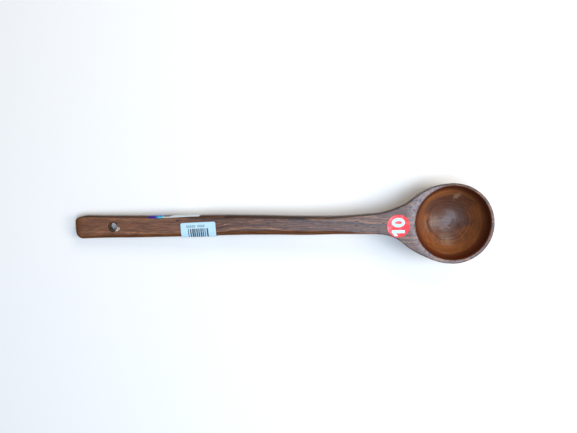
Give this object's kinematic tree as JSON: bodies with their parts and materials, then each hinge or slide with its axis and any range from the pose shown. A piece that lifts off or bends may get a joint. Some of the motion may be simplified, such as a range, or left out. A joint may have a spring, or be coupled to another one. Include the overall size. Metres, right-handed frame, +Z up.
{
  "type": "wooden ladle",
  "caption": "Long flat handle with a hanging hole, flaring into a deep round bowl for scooping and stirring, with paper stickers on the handle and shoulder.",
  "frame": {"origin": "middle of the ladle's footprint at table height, the ladle at rest on the bowl's belly and the end of its handle", "axes": "+Z up out of the table, +X along the ladle from the handle's end to the bowl's tip, +Y to the left seen from the handle"},
  "size_m": [0.3546, 0.067, 0.0327],
  "materials": {
    "oiled_hardwood": "oiled, satin",
    "red_sticker_paper": "satin",
    "white_label_paper": "satin",
    "blue_label_paper": "glossy"
  },
  "bodies": {
    "root": {"ladle": "oiled_hardwood", "price_dot": "red_sticker_paper", "barcode_label": "white_label_paper", "edge_label": "blue_label_paper"}
  },
  "joints": []
}
